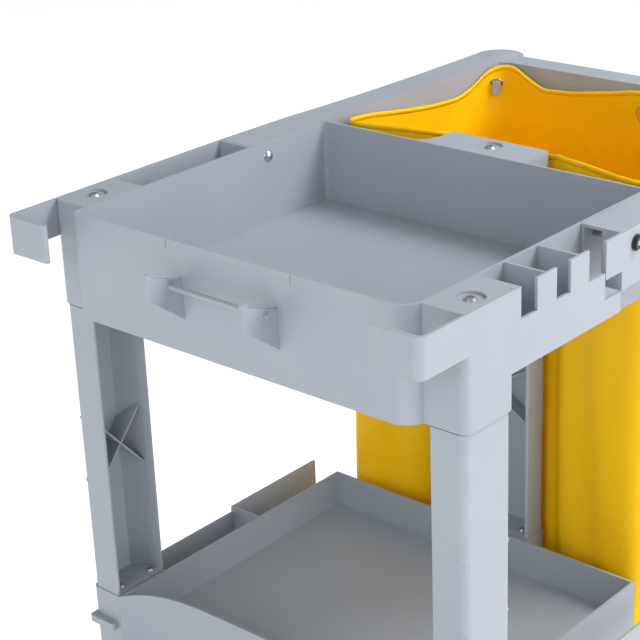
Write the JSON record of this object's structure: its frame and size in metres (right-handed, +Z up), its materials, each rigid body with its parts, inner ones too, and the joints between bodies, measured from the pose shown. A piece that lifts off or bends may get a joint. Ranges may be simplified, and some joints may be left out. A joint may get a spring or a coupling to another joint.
{
  "type": "housekeeping cart",
  "caption": "Janitorial service cart: two moulded trays and a bucket deck on channel posts, side hooks and slots, a framed hanging waste bag, swivel front casters and large rear wheels.",
  "frame": {"origin": "on the floor, under the centre of the cart's bounding box", "axes": "+X from the bucket deck to the bag and push handle, +Y to the cart's left seen from behind the bucket deck looking at the handle, +Z up"},
  "size_m": [1.15, 0.5112, 0.9835],
  "materials": {
    "shell_plastic": "blue-grey injection-moulded polypropylene with a fine satin texture",
    "bag_vinyl": "amber-yellow vinyl-coated fabric, soft sheen",
    "black_plastic": "black moulded nylon",
    "tyre_rubber": "dark grey non-marking rubber",
    "wheel_plastic": "black glass-filled nylon",
    "nylon": "natural white nylon",
    "bright_steel": "bright nickel-plated steel",
    "zinc_steel": "zinc-plated pressed steel"
  },
  "bodies": {
    "root": {"top_tray": "shell_plastic", "mid_tray": "shell_plastic", "base_deck": "shell_plastic", "upper_post_left": "shell_plastic", "upper_post_right": "shell_plastic", "upper_post_rear": "shell_plastic", "lower_post_left": "shell_plastic", "lower_post_right": "shell_plastic", "lower_post_rear": "shell_plastic", "mop_cup_left": "shell_plastic", "mop_cup_right": "shell_plastic", "axle_block_left": "wheel_plastic", "axle_block_right": "wheel_plastic", "bag_frame": "shell_plastic", "frame_bolts": "bright_steel", "frame_nuts": "black_plastic", "bracket_rod": "shell_plastic", "top_screws": "bright_steel", "foot_screws": "bright_steel", "base_screws": "bright_steel", "waste_bag": "bag_vinyl", "bag_eyelets": "bright_steel", "rear_axle": "zinc_steel", "axle_washers": "zinc_steel", "axle_push_nuts": "zinc_steel", "caster_plate_left": "zinc_steel", "caster_plate_right": "zinc_steel", "caster_race_left": "zinc_steel", "caster_race_right": "zinc_steel", "caster_kingpin_left": "zinc_steel", "caster_kingpin_right": "zinc_steel", "caster_screws": "zinc_steel", "caster_screw_nuts": "zinc_steel"},
    "caster_left": {"caster_fork_left": "zinc_steel", "caster_axle_left": "zinc_steel", "caster_nut_left": "zinc_steel", "caster_sleeve_left": "zinc_steel"},
    "caster_roller_left": {"caster_wheel_left": "wheel_plastic", "caster_tread_left": "tyre_rubber"},
    "rear_roller_left": {"rear_wheel_left": "wheel_plastic", "rear_tyre_left": "tyre_rubber", "wheel_bush_left": "nylon", "hub_cap_left": "shell_plastic"},
    "caster_right": {"caster_fork_right": "zinc_steel", "caster_axle_right": "zinc_steel", "caster_nut_right": "zinc_steel", "caster_sleeve_right": "zinc_steel"},
    "caster_roller_right": {"caster_wheel_right": "wheel_plastic", "caster_tread_right": "tyre_rubber"},
    "rear_roller_right": {"rear_wheel_right": "wheel_plastic", "rear_tyre_right": "tyre_rubber", "wheel_bush_right": "nylon", "hub_cap_right": "shell_plastic"}
  },
  "joints": [
    {"name": "caster_swivel_left", "type": "hinge", "parent": "root", "child": "caster_left", "pos_m": [-0.47, 0.172, 0.115], "axis": [0, 0, 1], "continuous": true},
    {"name": "caster_roll_left", "type": "hinge", "parent": "caster_left", "child": "caster_roller_left", "pos_m": [-0.436, 0.172, 0.05], "axis": [0, 1, 0], "continuous": true},
    {"name": "rear_roll_left", "type": "hinge", "parent": "root", "child": "rear_roller_left", "pos_m": [0.43, 0.2235, 0.1], "axis": [0, 1, 0], "continuous": true},
    {"name": "caster_swivel_right", "type": "hinge", "parent": "root", "child": "caster_right", "pos_m": [-0.47, -0.172, 0.115], "axis": [0, 0, 1], "continuous": true},
    {"name": "caster_roll_right", "type": "hinge", "parent": "caster_right", "child": "caster_roller_right", "pos_m": [-0.436, -0.172, 0.05], "axis": [0, 1, 0], "continuous": true},
    {"name": "rear_roll_right", "type": "hinge", "parent": "root", "child": "rear_roller_right", "pos_m": [0.43, -0.2235, 0.1], "axis": [0, 1, 0], "continuous": true}
  ]
}
